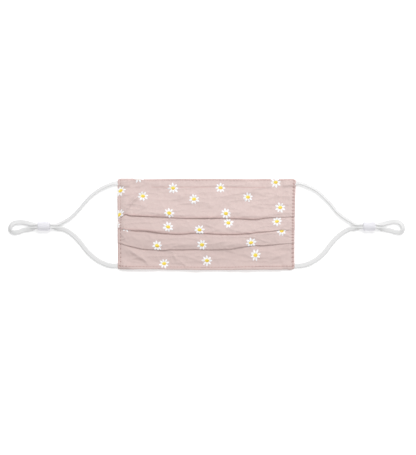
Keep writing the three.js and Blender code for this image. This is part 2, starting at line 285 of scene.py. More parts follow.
def addSoftLight(name, light):
    # a square panel that faces the middle of the table
    data = bpy.data.lights.new(name, "AREA")
    data.shape = "SQUARE"
    data.size = light["size"]
    data.energy = light["power"]
    lamp = addObject(name, data)
    lamp.location = light["place"]
    lamp.rotation_euler = (-Vector(light["place"])).to_track_quat("-Z", "Y").to_euler()


addSoftLight("keyPanel", studio["key"])
addSoftLight("fillPanel", studio["fill"])

cameraData = bpy.data.cameras.new("overhead")
seen = studio["pictureTall"] * studio["pixel"]
cameraData.lens = studio["sensor"] * studio["cameraHeight"] / seen
cameraData.sensor_width = studio["sensor"]
cameraData.clip_start = studio["nearest"]
camera = addObject("overhead", cameraData)
camera.location = (*studio["aim"], studio["cameraHeight"])
scene.camera = camera

# Ear loops, in millimetres: one flat elastic each
elastic = {
    "width": 4.7,
    "thick": 2.2,
    "samples": 40,  # between two points of the course
    "step": 0.34,
    "easing": 10,  # passes that even out the bends between the points of the course
    "around": 44,
    "squareness": 3,  # how soon the flat faces turn into the round edges
    "ribs": 9,
    "ribDepth": 0.07,
    "groove": 0.16,  # the dip along the middle of each face
    "grooveWidth": 0.2,  # as a share of the half width
    "stitch": 1.15,
    "stitchDepth": 0.05,
    "stitchSlant": 0.9,
    "stitchSpread": 0.02,
    "sewnLength": 12.5,
    "sewnShare": 0.55,
    "swellLength": 5,
    "offTable": 0.02,
    "exitHigh": 1.2,
}
# each course from its upper corner to its lower one: a point in metres and the turn from lying flat
# in degrees
leftCourse = [
    (-0.0775, 0.0418, 0.0011, 0),
    (-0.0840, 0.0418, 0.0011, 0),
    (-0.0896, 0.0418, 0.0012, 20),
    (-0.0940, 0.0414, 0.0018, 48),
    (-0.0995, 0.0394, 0.0021, 58),
    (-0.1074, 0.0355, 0.0022, 62),
    (-0.1139, 0.0309, 0.0022, 62),
    (-0.1203, 0.0248, 0.0022, 62),
    (-0.1266, 0.0174, 0.0022, 62),
    (-0.1332, 0.0103, 0.0022, 62),
    (-0.1388, 0.0056, 0.0022, 62),
    (-0.1449, 0.0022, 0.0022, 62),
    (-0.1513, -0.0002, 0.0025, 70),
    (-0.1572, -0.00035, 0.0038, 90),
    (-0.1638, -0.00035, 0.0038, 90),
    (-0.1707, -0.00035, 0.0037, 90),
    (-0.1764, 0.0003, 0.0020, 30),
    (-0.1836, 0.0020, 0.0013, 8),
    (-0.1909, 0.0022, 0.0016, 12),
    (-0.1964, 0.0000, 0.0020, 30),
    (-0.1982, -0.0051, 0.0021, 38),
    (-0.1956, -0.0077, 0.0018, 24),
    (-0.1905, -0.0077, 0.0015, 10),
    (-0.1844, -0.0057, 0.0013, 8),
    (-0.1766, -0.0045, 0.0020, 32),
    (-0.1707, -0.00297, 0.0037, 90),
    (-0.1638, -0.00297, 0.0038, 90),
    (-0.1572, -0.00297, 0.0038, 90),
    (-0.1508, -0.0040, 0.0021, 34),
    (-0.1440, -0.0049, 0.0013, 10),
    (-0.1375, -0.0083, 0.0012, 4),
    (-0.1311, -0.0137, 0.0011, 0),
    (-0.1255, -0.0204, 0.0011, 0),
    (-0.1199, -0.0273, 0.0011, 0),
    (-0.1136, -0.0332, 0.0011, 0),
    (-0.1064, -0.0379, 0.0011, 0),
    (-0.0985, -0.0410, 0.0011, 0),
    (-0.0892, -0.0418, 0.0011, 0),
    (-0.0835, -0.0418, 0.0011, 0),
    (-0.0775, -0.0418, 0.0011, 0),
]
rightCourse = [
    (0.0775, 0.0418, 0.0011, 0),
    (0.0840, 0.0418, 0.0011, 0),
    (0.0896, 0.0418, 0.0012, -20),
    (0.0940, 0.0418, 0.0018, -48),
    (0.0998, 0.0397, 0.0021, -58),
    (0.1066, 0.0368, 0.0022, -62),
    (0.1132, 0.0326, 0.0022, -62),
    (0.1196, 0.0266, 0.0022, -62),
    (0.1256, 0.0203, 0.0022, -62),
    (0.1311, 0.0133, 0.0022, -62),
    (0.1375, 0.0078, 0.0022, -62),
    (0.1436, 0.0040, 0.0022, -62),
    (0.1510, -0.0001, 0.0025, -70),
    (0.1572, -0.00035, 0.0038, -90),
    (0.1638, -0.00035, 0.0038, -90),
    (0.1707, -0.00035, 0.0037, -90),
    (0.1764, 0.0003, 0.0020, -30),
    (0.1834, 0.0018, 0.0013, -8),
    (0.1906, 0.0029, 0.0016, -12),
    (0.1962, 0.0008, 0.0020, -30),
    (0.1984, -0.0046, 0.0021, -38),
    (0.1962, -0.0078, 0.0018, -24),
    (0.1909, -0.0076, 0.0015, -10),
    (0.1844, -0.0057, 0.0013, -8),
    (0.1766, -0.0045, 0.0020, -32),
    (0.1707, -0.00297, 0.0037, -90),
    (0.1638, -0.00297, 0.0038, -90),
    (0.1572, -0.00297, 0.0038, -90),
    (0.1509, -0.0040, 0.0021, -36),
    (0.1442, -0.0046, 0.0013, -10),
    (0.1372, -0.0084, 0.0012, -4),
    (0.1312, -0.0133, 0.0011, 0),
    (0.1255, -0.0197, 0.0011, 0),
    (0.1197, -0.0274, 0.0011, 0),
    (0.1139, -0.0330, 0.0011, 0),
    (0.1074, -0.0374, 0.0011, 0),
    (0.0990, -0.0408, 0.0011, 0),
    (0.0892, -0.0418, 0.0011, 0),
    (0.0835, -0.0418, 0.0011, 0),
    (0.0775, -0.0418, 0.0011, 0),
]


def runAlong(points):
    # how far along a line of points each of them lies
    steps = np.linalg.norm(np.diff(points[:, :3], axis=0), axis=1)
    return np.concatenate([[0], np.cumsum(steps)])


def courseThrough(rows):
    points = np.array(rows, dtype=float)
    points[:, :3] /= mm
    gaps = np.sqrt(np.linalg.norm(np.diff(points[:, :3], axis=0), axis=1))
    knots = np.concatenate([[0], np.cumsum(gaps)])
    slopes = np.gradient(points, knots, axis=0)
    fine = []
    for i in range(len(points) - 1):
        isLast = i == len(points) - 2
        t = np.linspace(0, 1, elastic["samples"], endpoint=isLast)[:, None]
        span = knots[i + 1] - knots[i]
        fine.append(easeBetween(t, span, points[i], slopes[i], points[i + 1], slopes[i + 1]))
    fine = np.vstack(fine)
    run = runAlong(fine)
    places = np.linspace(0, run[-1], int(run[-1] / elastic["step"]) + 1)
    smooth = np.column_stack([np.interp(places, run, fine[:, k]) for k in range(4)])
    for _ in range(elastic["easing"]):
        smooth[1:-1] = (smooth[:-2] + 2 * smooth[1:-1] + smooth[2:]) / 4
    return smooth, runAlong(smooth)


def elasticMesh(name, rows, material):
    course, run = courseThrough(rows)
    centre = course[:, :3]
    tangent = np.gradient(centre, run, axis=0)
    tangent /= np.linalg.norm(tangent, axis=1)[:, None]
    across = np.cross([0, 0, 1], tangent)
    across /= np.linalg.norm(across, axis=1)[:, None]
    upright = np.cross(tangent, across)
    turn = np.radians(course[:, 3])[:, None]
    wide = across * np.cos(turn) + upright * np.sin(turn)
    deep = np.cross(tangent, wide)
    angle = np.linspace(0, 2 * np.pi, elastic["around"], endpoint=False)
    half, flat = elastic["thick"] / 2, (elastic["width"] - elastic["thick"]) / 2
    sideX = flat * np.tanh(elastic["squareness"] * np.cos(angle)) + half * np.cos(angle)
    sideY = half * np.sin(angle)
    # the ends are flatter where they are sewn in
    sewn = np.minimum(run, run[-1] - run)
    swell = smoothStep((sewn - elastic["sewnLength"]) / elastic["swellLength"])
    squash = elastic["sewnShare"] + (1 - elastic["sewnShare"]) * swell
    width = sideX / (elastic["width"] / 2)
    rib = np.cos(width * np.pi * elastic["ribs"]) * elastic["ribDepth"]
    dip = -elastic["groove"] * hump(width, elastic["grooveWidth"])
    face = np.sqrt(np.abs(np.sin(angle)))
    slant = np.abs(((width * elastic["ribs"] / 2) % 1) - 0.5) * elastic["stitchSlant"]
    vertices, uvs = [], []
    for i in range(len(run)):
        knit = np.cos(2 * np.pi * (run[i] / elastic["stitch"] + slant)) * elastic["stitchDepth"]
        grow = 1 + (rib + knit + dip) * face / half
        sideways = np.outer(sideX * (1 + elastic["stitchSpread"] * knit), wide[i])
        vertices.append(centre[i] + sideways + np.outer(sideY * grow * squash[i], deep[i]))
        uvs.append(np.column_stack([np.full(len(angle), run[i]), sideX]))
    stacked = np.vstack(vertices)
    stacked[:, 2] = np.maximum(stacked[:, 2], elastic["offTable"])
    faces = tubeFaces(0, len(run), len(angle))
    made = meshFrom(name, stacked * mm, faces, material, np.vstack(uvs))
    return outwards(made), centre * mm, run[-1] * mm


elasticLook = {
    "tone": (0.7, 0.7, 0.7),
    "settings": {"Roughness": 0.9},
    "fibreStretch": (1.2, 6, 1),
    "fibreScale": 2.2,
    "loopPace": 11.0,
    "ribPace": 13.0,
    "knitShare": 0.4,
    "dark": (0.72, 0.72, 0.724),
    "light": (0.82, 0.82, 0.816),
    "bump": 0.00012,
    "bumpStrength": 0.6,
}


def elasticMaterial():
    look = elasticLook
    material, tree, shader = newMaterial("knittedElastic", look)
    place, along, across = clothPlaces(tree)
    fibre = stretchedNoise(place, look["fibreStretch"], look["fibreScale"], 4)
    knit = along.wave(look["loopPace"]) * across.wave(look["ribPace"])
    tintAndBump(shader, fibre, knit * look["knitShare"] + fibre, look)
    return material


print("ear loops: two lengths of flat elastic")
knitted = elasticMaterial()
leftLoop, leftLine, leftLength = elasticMesh("elasticLeft", leftCourse, knitted)
rightLoop, rightLine, rightLength = elasticMesh("elasticRight", rightCourse, knitted)
print("lengths", round(leftLength, 4), round(rightLength, 4))

# Cloth panel, in millimetres: one folded sheet of two plies
cloth = {
    "length": 178,
    "height": 91,
    "thick": 1.0,
    "gap": 0.35,
    "foldDrop": 38.8,
    "pitch": 15.8,
    "depth": 11.5,
    "pleats": 3,
    "pressed": 3.6,  # how far from its edge a fold is pressed flatter
    "pressedShare": 0.08,
    "sampleStep": 0.1,
    "samePoint": 1e-6,
    "visibleStep": 0.8,
    "hiddenStep": 2.3,
    "shownFrom": 1,  # the closer rows start this far below the fold above
    "outerSamples": 24,
    "outerStep": 0.36,
    "innerSamples": 16,
    "innerStep": 0.6,
    "columnStep": 0.92,
    "hemStep": 0.42,
    "hemReach": 6,
    "hemFade": 4,
    "hemFloor": 0.03,  # how close the cloth's underside comes to the table
    "rimThin": 0.45,  # share of the thickness lost at the very edges, and over what width
    "rimWidth": 0.5,
    "rimStart": 0.55,
    "cordUp": 41.8,  # where the ends of the elastic lie between the plies, and how wide they spread
    "cordReach": 14.5,
    "cordFade": 5,
    "cordHalf": 5,
    "cordSoft": 3.4,
    "cordDeep": 12,
    "cornerRise": 1.05,  # how far the ends of the elastic raise the cloth
    "seamLeft": 2.7,  # how far in from each edge the topstitching runs
    "seamRight": 2.0,
    "seamTop": 1.6,
    "seamLow": 2.7,
    "seamPitch": 3.43,
    "seamDepth": 0.22,
    "seamWidth": 0.55,
    "seamBeat": 0.25,
    "pucker": 0.14,  # on the left side, and how many times as strong it is elsewhere
    "puckerRight": 3.2,
    "puckerEnds": 0.5,
    "puckerWidth": 1.7,
    "puckerPinch": 0.6,
    "puckerPinchWidth": 0.5,
    "edgeDrop": 0.3,
    "edgeWidth": 0.9,
    "underCord": 0.8,  # share of the seam's relief that the raised corners take up
    "hemCurl": 2.3,  # how far the lower hem stands off the table, and over what width
    "hemCurlWidth": 9,
    "hemCurlPower": 1.5,
    "hemCurlLess": 0.6,  # share of the curl lost towards the sides, from where and over what width
    "hemCurlSide": 66,
    "hemCurlFade": 16,
    "pressAll": 0.78,  # thickness left where the stack is pressed, and where the side seams pinch it
    "pressSide": 0.5,
    "pressLeft": 9,
    "pressRight": 30,
    "foldStrength": 1.25,
    "foldFall": 2.2,
    "foldCrown": 0.02,
    "foldCrownHigh": 0.14,
    "flatEdge": 0.25,  # share of the soft folds' lift left at the side edges, and over what width
    "flatStart": 0.5,
    "flatWidth": 6,
    "lipWidth": 3.4,
    "topOnly": -0.1,  # only points above this height over the middle of the cloth rise over a cord
    "threadPitch": 0.5,
}
# place along the half length, then how far up the top edge, each fold and the lower edge lie from
# their straight courses, as shares of the pleat pitch
foldRows = [
    (-1, -0.02, -0.07, 0.28, 0.40, 0.06),
    (-0.98, 0.03, -0.02, 0.28, 0.38, 0.02),
    (-0.95, 0.04, 0.11, 0.26, 0.33, 0.01),
    (-0.92, 0.04, 0.19, 0.24, 0.27, 0.01),
    (-0.86, 0.04, 0.12, 0.19, 0.17, 0.01),
    (-0.83, 0.04, 0.12, 0.17, 0.13, 0.01),
    (-0.8, 0, 0.11, 0.16, 0.09, 0.02),
    (-0.73, 0.01, 0.08, 0.17, 0, 0.02),
    (-0.65, 0, 0.07, 0.13, -0.05, 0.02),
    (-0.57, 0.01, 0.05, 0.06, -0.05, 0.02),
    (-0.5, 0.02, 0.04, 0.01, -0.1, 0.01),
    (-0.42, 0.03, 0, -0.03, -0.05, 0),
    (-0.34, 0.03, -0.03, -0.06, -0.05, -0.01),
    (-0.25, 0.04, -0.05, -0.05, -0.05, -0.01),
    (-0.15, 0.04, -0.05, 0, -0.03, -0.02),
    (0, 0.04, -0.04, -0.02, -0.05, -0.03),
    (0.1, 0.04, -0.03, -0.05, -0.05, -0.03),
    (0.2, 0.03, -0.04, -0.07, -0.02, -0.03),
    (0.3, 0.03, -0.07, -0.08, 0.01, -0.03),
    (0.35, 0.03, -0.07, -0.08, 0.07, -0.02),
    (0.45, 0.01, -0.1, -0.04, 0.16, -0.01),
    (0.5, 0.01, -0.12, -0.02, 0.2, -0.01),
    (0.57, 0.02, -0.12, 0.03, 0.24, -0.01),
    (0.65, 0.03, -0.05, 0.09, 0.22, 0),
    (0.73, 0.02, -0.01, 0.12, 0.26, -0.01),
    (0.8, 0.02, 0.01, 0.17, 0.3, -0.01),
    (0.9, 0.02, 0.02, 0.2, 0.35, 0),
    (0.98, 0.01, 0.04, 0.19, 0.37, 0.01),
    (1, -0.05, 0.04, 0.19, 0.38, 0.07),
]
# share of the way down, then how far the left and right edges are drawn in, as shares of the length
sideRows = [
    (0.0, -0.003, -0.006),
    (0.1, -0.004, -0.0055),
    (0.2, -0.005, -0.003),
    (0.31, -0.0033, -0.0016),
    (0.38, -0.001, -0.001),
    (0.44, 0.0, 0.0005),
    (0.52, -0.002, -0.0005),
    (0.62, -0.0028, 0.0012),
    (0.74, -0.0028, 0.0015),
    (1.0, -0.0022, 0.0015),
]
# soft folds: place along the half length and up the half height, reach and width in pitches,
# turn in degrees and lift in millimetres
softFolds = [
    (-0.84, 0.50, 1.30, 0.2, 47, 1.6),
    (-0.78, 0.62, 1.00, 0.16, 43, 1.1),
    (-0.72, 0.42, 0.90, 0.15, 36, 0.65),
    (-0.90, 0.34, 0.80, 0.14, 52, 0.6),
    (-0.55, 0.70, 0.80, 0.16, 12, 0.25),
    (-0.30, 0.62, 1.20, 0.18, 4, 0.35),
    (-0.10, 0.70, 1.50, 0.18, 6, 0.45),
    (-0.06, 0.55, 1.60, 0.20, 3, 0.40),
    (0.10, 0.42, 1.70, 0.22, -4, 0.35),
    (0.22, 0.62, 1.40, 0.20, -7, 0.40),
    (0.42, 0.55, 0.90, 0.20, -20, 0.30),
    (0.55, 0.45, 1.00, 0.22, 25, 0.35),
    (0.66, 0.66, 0.80, 0.18, 62, 0.30),
    (0.80, 0.60, 0.75, 0.12, 84, 0.95),
    (0.87, 0.60, 0.75, 0.12, 78, 0.85),
    (0.93, 0.40, 0.70, 0.14, 100, 0.30),
    (-0.62, 0.30, 1.00, 0.20, -24, 0.30),
    (-0.40, 0.02, 0.80, 0.16, 8, 0.20),
    (-0.72, 0.05, 0.90, 0.16, -6, 0.22),
    (0.35, 0.02, 0.90, 0.16, -4, 0.20),
    (0.72, 0.03, 0.70, 0.14, 10, 0.22),
    (-0.48, -0.27, 0.50, 0.11, 28, 0.65),
    (-0.80, -0.30, 0.80, 0.16, -14, 0.25),
    (0.28, -0.28, 0.60, 0.10, 0, 0.55),
    (0.42, -0.34, 0.35, 0.11, 70, 0.55),
    (0.05, -0.33, 0.90, 0.14, 4, 0.20),
    (-0.80, -0.66, 1.00, 0.30, -36, 1.9),
    (-0.92, -0.86, 0.70, 0.2, -36, 0.8),
    (-0.70, -0.80, 0.60, 0.13, -48, 0.8),
    (-0.36, -0.72, 0.60, 0.15, -62, 0.95),
    (-0.28, -0.84, 0.55, 0.13, -40, 0.65),
    (-0.10, -0.70, 0.45, 0.10, 4, 0.55),
    (0.12, -0.78, 1.10, 0.20, 8, 0.25),
    (0.42, -0.80, 1.00, 0.20, 12, 0.30),
    (0.80, -0.72, 1.20, 0.17, 20, 1.0),
    (0.70, -0.86, 0.90, 0.13, 12, 0.55),
    (0.93, -0.55, 0.60, 0.14, 70, 0.35),
]
# the waves of the crumpled cloth: scale along and down the cloth, and seed
crumpled = {
    "broad": (0.035, 0.08, 3.1),
    "crease": (0.034, 0.17, 8.7),
    "cross": (0.09, 0.07, 1.9),
    "fine": (0.2, 0.34, 5.3),
    "lift": 0.55,
    "broadLift": 1.6,
    "creaseLift": 0.7,
    "creaseNarrow": 2.6,
    "creaseBend": 3,
    "crossLift": 0.35,
    "crossNarrow": 3.2,
    "fineLift": 0.28,
}
# the thin wire sewn in under the top edge: its channel, along the mask and down from the edge
wire = {
    "left": -55,
    "right": 58.5,
    "beyond": 0.5,  # the channel is stitched shut this far beyond each end
    "top": 2.8,
    "low": 8.1,
    "rise": 0.3,
    "line": 8.2,
    "lineDepth": 0.34,
    "lineWidth": 0.45,
    "lineMiddle": 1.7,  # of its darker tint, and how far that reaches on both sides
    "lineReach": 57.0,
    "endDepth": 0.4,
    "endWidth": 0.5,
    "sideFade": 1.5,
    "topFade": 1.2,
    "lowFade": 0.8,
}
halfLength, halfHeight = cloth["length"] / 2, cloth["height"] / 2
halfThick = cloth["thick"] / 2
layerPitch = cloth["thick"] + cloth["gap"]


def outerTurn(pleat):
    return halfHeight - cloth["foldDrop"] - pleat * cloth["pitch"] + layerPitch / 2 + halfThick


def innerTurn(pleat):
    return outerTurn(pleat) + cloth["depth"]


def panelLift(panel, y):
    if panel == cloth["pleats"]:
        return 0.0
    climb = 2 * layerPitch * (innerTurn(panel) + cloth["pitch"] - y) / cloth["pitch"]
    most = 2 * layerPitch if panel == cloth["pleats"] - 1 else math.inf
    return np.clip(climb, 0, most)


def gapAt(pleat, y):
    near = smoothStep((y - outerTurn(pleat)) / cloth["pressed"])
    return cloth["gap"] * (cloth["pressedShare"] + (1 - cloth["pressedShare"]) * near)


def foldedCourse():
    # the middle of the cloth from the top edge to the lower one: y, z, step to the next row and panel,
    # where the hidden layer behind a fold counts as half a panel more
    points = []
    visible, hidden, sample = cloth["visibleStep"], cloth["hiddenStep"], cloth["sampleStep"]
    for panel in range(cloth["pleats"] + 1):
        top = halfHeight if panel == 0 else innerTurn(panel - 1)
        shown = halfHeight if panel == 0 else outerTurn(panel - 1) - cloth["shownFrom"]
        low = -halfHeight if panel == cloth["pleats"] else outerTurn(panel)
        for y in np.arange(top, low, -sample):
            z = panelLift(panel, y) + halfThick
            if panel < cloth["pleats"]:
                z -= 2 * (cloth["gap"] - gapAt(panel, y))
            points.append((y, z, visible if y < shown else hidden, panel))
        if panel == cloth["pleats"]:
            points.append((low, halfThick, visible, panel))
            break
        under = panelLift(panel + 1, low) + halfThick
        pitch = cloth["thick"] + gapAt(panel, low)
        for angle in np.linspace(0, np.pi, cloth["outerSamples"])[:-1]:
            y = low - math.sin(angle) * pitch / 2
            z = under + pitch * (1.5 + 0.5 * math.cos(angle))
            points.append((y, z, cloth["outerStep"], panel))
        high = innerTurn(panel)
        for y in np.arange(low, high, sample):
            z = panelLift(panel + 1, y) + halfThick + cloth["thick"] + gapAt(panel, y)
            points.append((y, z, hidden, panel + 0.5))
        under = panelLift(panel + 1, high) + halfThick
        for angle in np.linspace(0, np.pi, cloth["innerSamples"])[:-1]:
            y = high + math.sin(angle) * layerPitch / 2
            z = under + layerPitch * (0.5 + 0.5 * math.cos(angle))
            points.append((y, z, cloth["innerStep"], panel + 0.5))
    course = np.array(points)
    moved = np.linalg.norm(np.diff(course[:, :2], axis=0), axis=1)
    course = course[np.concatenate([[True], moved > cloth["samePoint"]])]
    moved = np.linalg.norm(np.diff(course[:, :2], axis=0), axis=1)
    run = np.concatenate([[0], np.cumsum(moved)])
    density = np.concatenate([[0], np.cumsum(moved / course[1:, 2])])
    rows = np.linspace(0, density[-1], int(density[-1]) + 1)
    return course, run, np.interp(rows, density, run)


course, courseRun, rowRuns = foldedCourse()
courseSlope = np.gradient(course[:, :2], courseRun, axis=0)
courseSlope /= np.linalg.norm(courseSlope, axis=1)[:, None]
courseNormal = np.column_stack([courseSlope[:, 1], -courseSlope[:, 0]])
totalRun = courseRun[-1]

foldTable = np.array(foldRows)
sideTable = np.array(sideRows)
denseAlong = np.linspace(-1, 1, 801)


def smoothColumn(places, values, dense):
    slopes = np.gradient(values, places)
    index = np.clip(np.searchsorted(places, dense) - 1, 0, len(places) - 2)
    span = places[index + 1] - places[index]
    t = (dense - places[index]) / span
    return easeBetween(t, span, values[index], slopes[index], values[index + 1], slopes[index + 1])


foldCurves = [smoothColumn(foldTable[:, 0], foldTable[:, k], denseAlong) for k in range(1, 6)]
foldPlaces = np.array([halfHeight, outerTurn(0), outerTurn(1), outerTurn(2), -halfHeight])


def shiftAt(along, y):
    # how far the edges and folds carry this place up or down with them
    curves = np.array([np.interp(along, denseAlong, curve) for curve in foldCurves])
    below = np.clip(np.searchsorted(-foldPlaces, -y), 1, 4)
    above = below - 1
    share = np.clip((foldPlaces[above] - y) / (foldPlaces[above] - foldPlaces[below]), 0, 1)
    columns = np.arange(len(along))
    return (curves[above, columns] * (1 - share) + curves[below, columns] * share) * cloth["pitch"]


def fromSides(x):
    return halfLength - np.abs(x)


def fromEnds(run):
    return np.minimum(run, totalRun - run)


def cornerLift(x, y):
    # the sewn-in ends of the elastic raise the top ply in each corner
    beside = np.abs(np.abs(y) - cloth["cordUp"])
    nearSide = smoothStep((cloth["cordReach"] - fromSides(x)) / cloth["cordFade"])
    return nearSide * smoothStep((cloth["cordHalf"] - beside) / cloth["cordSoft"])


def liftAt(x, y):
    lift = np.zeros_like(x)
    for along, up, reach, width, turn, rise in softFolds:
        angle = math.radians(turn)
        dx, dy = x - along * halfLength, y - up * halfHeight
        far = (dx * math.cos(angle) + dy * math.sin(angle)) / (reach * cloth["pitch"])
        wide = (dy * math.cos(angle) - dx * math.sin(angle)) / (width * cloth["pitch"])
        crown = np.sqrt(wide**2 + cloth["foldCrown"]) - cloth["foldCrownHigh"]
        lift += rise * np.exp(-cloth["foldFall"] * far**2 - cloth["foldFall"] * crown)
    return lift


def ripple(x, y, scaleX, scaleY, seed):
    return np.array([noise.noise(Vector((a * scaleX, b * scaleY, seed))) for a, b in zip(x, y)])


def crumple(x, y):
    # broad waves, sharper creases where two of them meet, and a fine unevenness
    broad = ripple(x, y, *crumpled["broad"])
    crease = np.abs(ripple(x + crumpled["creaseBend"] * broad, y, *crumpled["crease"]))
    crease = np.maximum(1 - crease * crumpled["creaseNarrow"], 0) ** 3
    cross = np.abs(ripple(x + 0.6 * y, y - 0.3 * x, *crumpled["cross"]))
    cross = np.maximum(1 - cross * crumpled["crossNarrow"], 0) ** 4
    fine = ripple(x, y, *crumpled["fine"])
    sharp = crumpled["creaseLift"] * crease + crumpled["crossLift"] * cross
    return crumpled["lift"] + crumpled["broadLift"] * broad + sharp + crumpled["fineLift"] * fine


def seamRelief(x, run):
    # the topstitching pulls the cloth in along a line and puckers it on both sides
    sideSeam = np.where(x > 0, cloth["seamRight"], cloth["seamLeft"])
    endSeam = np.where(run < totalRun / 2, cloth["seamTop"], cloth["seamLow"])
    relief = np.zeros_like(x)
    for away, seam, along, strength in (
        (fromSides(x), sideSeam, run, np.where(x > 0, cloth["puckerRight"], 1.0)),
        (fromEnds(run), endSeam, x, np.full_like(x, cloth["puckerEnds"])),
    ):
        line = away - seam
        beat = np.cos(2 * np.pi * along / cloth["seamPitch"])
        pulled = hump(line, cloth["seamWidth"]) * (1 - cloth["seamBeat"] * (1 + beat))
        pucker = strength * cloth["pucker"] * beat * hump(line, cloth["puckerWidth"])
        pinched = 1 - cloth["puckerPinch"] * hump(line, cloth["puckerPinchWidth"])
        relief += pucker * pinched - cloth["seamDepth"] * pulled
        relief -= cloth["edgeDrop"] * smoothStep((cloth["edgeWidth"] - away) / cloth["edgeWidth"])
    return relief


def wireRidge(x, run):
    # a faint raised channel, closed at both ends, with a line under it
    fromLeft, fromRight = x - wire["left"], wire["right"] - x
    inside = smoothStep(fromLeft / wire["sideFade"]) * smoothStep(fromRight / wire["sideFade"])
    fromTop, fromLow = run - wire["top"], wire["low"] - run
    down = smoothStep(fromLow / wire["lowFade"]) * smoothStep(fromTop / wire["topFade"])
    line = wire["lineDepth"] * hump(run - wire["line"], wire["lineWidth"])
    leftEnd = hump(fromLeft + wire["beyond"], wire["endWidth"])
    rightEnd = hump(fromRight + wire["beyond"], wire["endWidth"])
    closed = smoothStep((run - 1.5) / 1.5) * smoothStep((8.7 - run) / 0.8)
    return (wire["rise"] * down - line) * inside - wire["endDepth"] * (leftEnd + rightEnd) * closed


def clothPoint(x, run, height):
    # a point of the folded cloth, this far from the middle of its thickness, before it is draped
    y = np.interp(run, courseRun, course[:, 0])
    z = np.interp(run, courseRun, course[:, 1])
    ny = np.interp(run, courseRun, courseNormal[:, 0])
    nz = np.interp(run, courseRun, courseNormal[:, 1])
    size = np.hypot(ny, nz)
    y = y + ny / size * height
    z = z + nz / size * height
    along = np.clip(x / halfLength, -1, 1)
    down = (halfHeight - y) / cloth["height"]
    leftIn, rightIn = (np.interp(down, sideTable[:, 0], sideTable[:, k]) for k in (1, 2))
    drawnIn = np.where(x < 0, leftIn, rightIn)
    return x - along * drawnIn * cloth["length"], y + shiftAt(along, y), z


def faceRelief(x, run):
    ends = fromEnds(run)
    overCord = cornerLift(x, halfHeight - ends) * (ends < cloth["cordDeep"])
    return seamRelief(x, run) * (1 - cloth["underCord"] * overCord) + wireRidge(x, run)


# how far the lip of each fold stands open: the fold, its place along the half length, reach and rise
openLips = [
    (0, -0.72, 0.18, 0.45),
    (0, 0.02, 0.28, 0.35),
    (0, 0.50, 0.16, 0.20),
    (1, -0.60, 0.18, 0.70),
    (1, 0.12, 0.22, 0.20),
    (0, -0.03, 0.10, 0.30),
    (0, -0.86, 0.07, 0.35),
    (2, -0.50, 0.10, 0.20),
    (2, 0.02, 0.10, 0.15),
    (2, 0.60, 0.14, 0.15),
]


def lipLift(x, run):
    y = np.interp(run, courseRun, course[:, 0])
    foldOf = np.floor(np.interp(run, courseRun, course[:, 3]) + 0.01)
    lift = np.zeros_like(x)
    for fold, place, reach, rise in openLips:
        beside = (x / halfLength - place) / reach
        near = (y - outerTurn(fold)) / cloth["lipWidth"]
        lift += (foldOf == fold) * rise * np.exp(-(beside**2) - near**2)
    return lift


def hemCurl(x, run):
    near = smoothStep(1 - (totalRun - run) / cloth["hemCurlWidth"]) ** cloth["hemCurlPower"]
    side = smoothStep((np.abs(x) - cloth["hemCurlSide"]) / cloth["hemCurlFade"])
    return cloth["hemCurl"] * near * (1 - cloth["hemCurlLess"] * side)


def drapedPoints(x, run, height):
    px, py, pz = clothPoint(x, run, height)
    lift = np.maximum(cloth["foldStrength"] * liftAt(px, py) + crumple(px, py), 0)
    lift = lift + lipLift(x, run) + hemCurl(x, run)
    inside = smoothStep((fromSides(px) - cloth["flatStart"]) / cloth["flatWidth"])
    lift = lift * (inside * (1 - cloth["flatEdge"]) + cloth["flatEdge"])
    overCord = cornerLift(px, py) * (fromEnds(run) < cloth["cordDeep"])
    pressWidth = np.where(x > 0, cloth["pressRight"], cloth["pressLeft"])
    pinch = smoothStep(1 - fromSides(x) / pressWidth)
    press = cloth["pressAll"] + (cloth["pressSide"] - cloth["pressAll"]) * pinch
    press = press + (1 - press) * overCord
    raised = overCord * (height > cloth["topOnly"]) * cloth["cornerRise"]
    return np.column_stack([px, py, pz * press + lift + raised])


def clothColumns():
    places = [0.0]
    while places[-1] < cloth["length"]:
        edge = min(places[-1], cloth["length"] - places[-1])
        share = smoothStep((edge - cloth["hemReach"]) / cloth["hemFade"])
        places.append(places[-1] + cloth["hemStep"] * (1 - share) + cloth["columnStep"] * share)
    return np.array(places) * cloth["length"] / places[-1] - halfLength


def stripFaces(first, second, over):
    # the wall between the outer face and the inner one, along one edge of the sheet
    return np.column_stack([first, second, second + over, first + over])


def foldedCloth(material):
    columns = clothColumns()
    count, rows = len(columns), len(rowRuns)
    run, x = gridOf(rowRuns, columns)
    sideEdge = (cloth["rimStart"] - fromSides(x)) / cloth["rimWidth"]
    endEdge = (cloth["rimWidth"] - fromEnds(run)) / cloth["rimWidth"]
    thin = 1 - cloth["rimThin"] * smoothStep(sideEdge)
    thin = thin * (1 - cloth["rimThin"] * smoothStep(endEdge))
    outerFace = drapedPoints(x, run, halfThick * thin + faceRelief(x, run))
    innerFace = drapedPoints(x, run, -halfThick * thin)
    innerFace[:, 2] = np.maximum(innerFace[:, 2], cloth["hemFloor"])
    vertices = np.vstack([outerFace, innerFace]) * mm
    uvs = np.vstack([np.column_stack([x, run])] * 2)
    total = rows * count
    i, j = gridOf(np.arange(rows - 1), np.arange(count - 1))
    a, d = i * count + j, (i + 1) * count + j
    top = np.arange(count - 1)
    low = top + (rows - 1) * count
    left = np.arange(rows - 1) * count
    right = left + count - 1
    faces = [
        np.column_stack([d, d + 1, a + 1, a]),
        np.column_stack([a, a + 1, d + 1, d]) + total,
        stripFaces(top, top + 1, total),
        stripFaces(low + total, low + 1 + total, -total),
        stripFaces(left + total, left + count + total, -total),
        stripFaces(right, right + count, total),
    ]
    return outwards(meshFrom("cottonPanel", vertices, np.vstack(faces), material, uvs))


def lipRun(fold):
    # where along the cloth the outer edge of this fold lies
    return float(courseRun[np.argmax(course[:, 3] >= fold + 0.5)]) - layerPitch * 0.9


